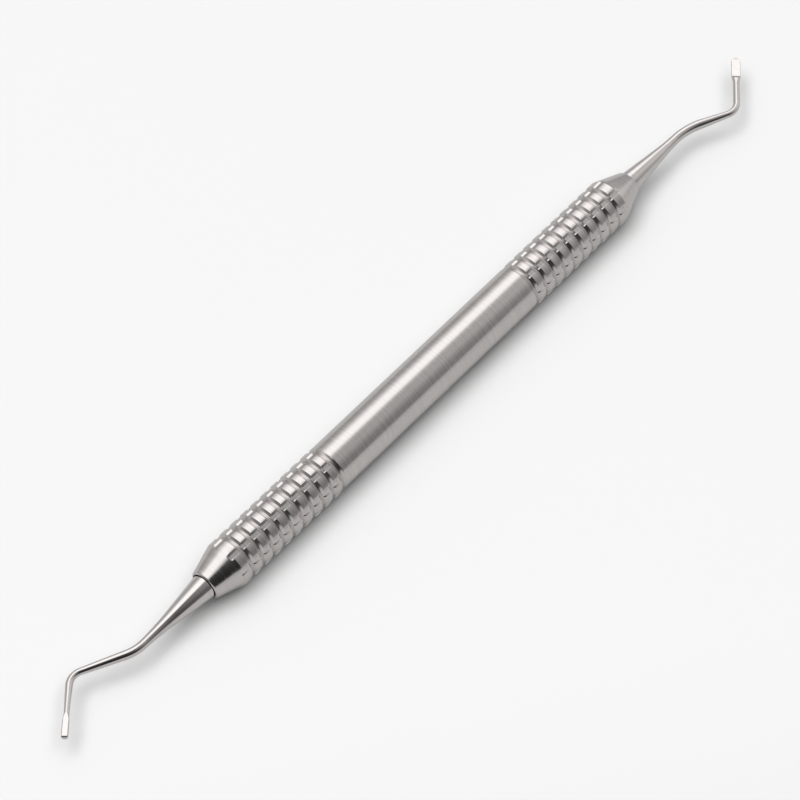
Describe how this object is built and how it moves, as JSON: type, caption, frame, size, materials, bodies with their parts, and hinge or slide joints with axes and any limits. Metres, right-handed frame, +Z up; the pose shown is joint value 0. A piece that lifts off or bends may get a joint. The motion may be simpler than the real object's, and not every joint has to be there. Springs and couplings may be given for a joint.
{
  "type": "dental filling instrument",
  "caption": "Double-ended dental filling instrument: a round steel handle with ribbed grips, and at each end a tapered, bent rod with a small flat blade.",
  "frame": {"origin": "on the surface that the handle lies on, under the middle of the instrument", "axes": "+X along the handle towards the round blade, +Z up, with both bent ends level"},
  "size_m": [0.1682, 0.0088, 0.0081],
  "materials": {
    "satin_steel": "satin, with fine turning lines round the handle",
    "polished_steel": "polished"
  },
  "bodies": {
    "root": {"handle": "satin_steel", "square_blade_insert": "polished_steel", "round_blade_insert": "polished_steel"}
  },
  "joints": []
}
